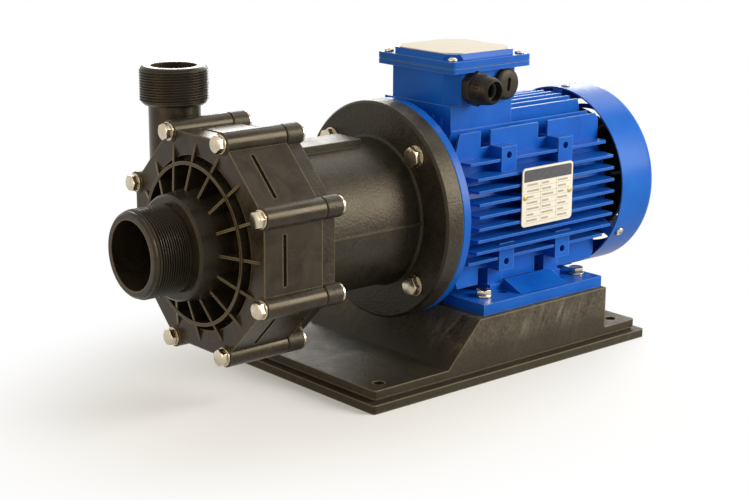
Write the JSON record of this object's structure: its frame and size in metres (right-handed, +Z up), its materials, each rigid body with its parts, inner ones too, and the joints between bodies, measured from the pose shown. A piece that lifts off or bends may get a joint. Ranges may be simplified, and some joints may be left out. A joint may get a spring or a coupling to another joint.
{
  "type": "magnetic drive pump",
  "caption": "Magnetic drive pump with a ribbed plastic volute casing, threaded suction and discharge nozzles, a lantern and a finned foot and flange motor on a moulded base.",
  "frame": {"origin": "centre of the four fixing holes of the base, on the floor", "axes": "+X along the shaft from the suction side to the fan, +Z up, +Y to the side of the discharge nozzle"},
  "size_m": [0.549, 0.211, 0.2898],
  "materials": {
    "base_plastic": "moulded, mottled",
    "lantern_plastic": "fine moulded grain",
    "casing_plastic": "semi-gloss moulded",
    "gland_plastic": "moulded",
    "fan_plastic": "moulded",
    "block_plastic": "moulded",
    "wear_plastic": "machined",
    "wet_plastic": "moulded",
    "carbon": "machined carbon",
    "seal_rubber": "moulded",
    "motor_paint": "gloss enamel",
    "cowl_paint": "gloss enamel",
    "stainless": "machined",
    "shaft_steel": "ground",
    "bearing_steel": "ground",
    "core_steel": "plain",
    "magnet": "nickel plated",
    "cast_aluminium": "cast",
    "winding_copper": "varnished copper",
    "brass": "turned",
    "alumina": "ground",
    "pale_plate": "pale printed plate"
  },
  "bodies": {
    "pump": {"baseplate": "base_plastic", "foot_inserts": "brass", "foot_bolts": "stainless", "foot_washers": "stainless", "near_foot": "motor_paint", "far_foot": "motor_paint", "foot_screws": "stainless", "motor_frame": "motor_paint", "motor_flange": "motor_paint", "rear_shield": "motor_paint", "tie_rods": "stainless", "stator_core": "core_steel", "windings": "winding_copper", "front_bearing": "bearing_steel", "rear_bearing": "bearing_steel", "fan_cowl": "cowl_paint", "cowl_screws": "stainless", "terminal_box": "motor_paint", "lid_gasket": "seal_rubber", "terminal_lid": "motor_paint", "lid_plate": "pale_plate", "lid_screws": "stainless", "terminal_block": "block_plastic", "terminal_studs": "brass", "gland_body": "gland_plastic", "gland_nut": "gland_plastic", "gland_seal": "seal_rubber", "blanking_plug": "gland_plastic", "name_plate": "pale_plate", "plate_rivets": "brass", "lantern": "lantern_plastic", "flange_bolts": "stainless", "flange_washers": "stainless", "flange_nuts": "stainless", "pump_casing": "casing_plastic", "casing_bolts": "stainless", "casing_washers": "stainless", "casing_nuts": "stainless", "casing_o_ring": "seal_rubber", "wear_ring": "wear_plastic", "front_thrust_ring": "alumina", "pump_shaft": "alumina", "rear_casing": "wet_plastic"},
    "rotor": {"motor_shaft": "shaft_steel", "shaft_key": "shaft_steel", "shaft_seal": "seal_rubber", "rotor_core": "core_steel", "rotor_rings": "cast_aluminium", "front_race": "bearing_steel", "rear_race": "bearing_steel", "cooling_fan": "fan_plastic", "drive_hub": "core_steel", "drive_magnets": "magnet", "hub_bolt": "stainless"},
    "impeller_unit": {"impeller": "wet_plastic", "impeller_bush": "carbon", "magnet_capsule": "wet_plastic", "capsule_cap": "wet_plastic", "inner_yoke": "core_steel", "inner_magnets": "magnet"}
  },
  "joints": [
    {"name": "rotor_spin", "type": "hinge", "parent": "pump", "child": "rotor", "pos_m": [0, 0, 0.148], "axis": [1, 0, 0], "continuous": true},
    {"name": "impeller_spin", "type": "hinge", "parent": "pump", "child": "impeller_unit", "pos_m": [-0.2, 0, 0.148], "axis": [1, 0, 0], "continuous": true}
  ],
  "couplings": [
    {"joint": "impeller_spin", "follows": "rotor_spin", "ratio": 1}
  ]
}
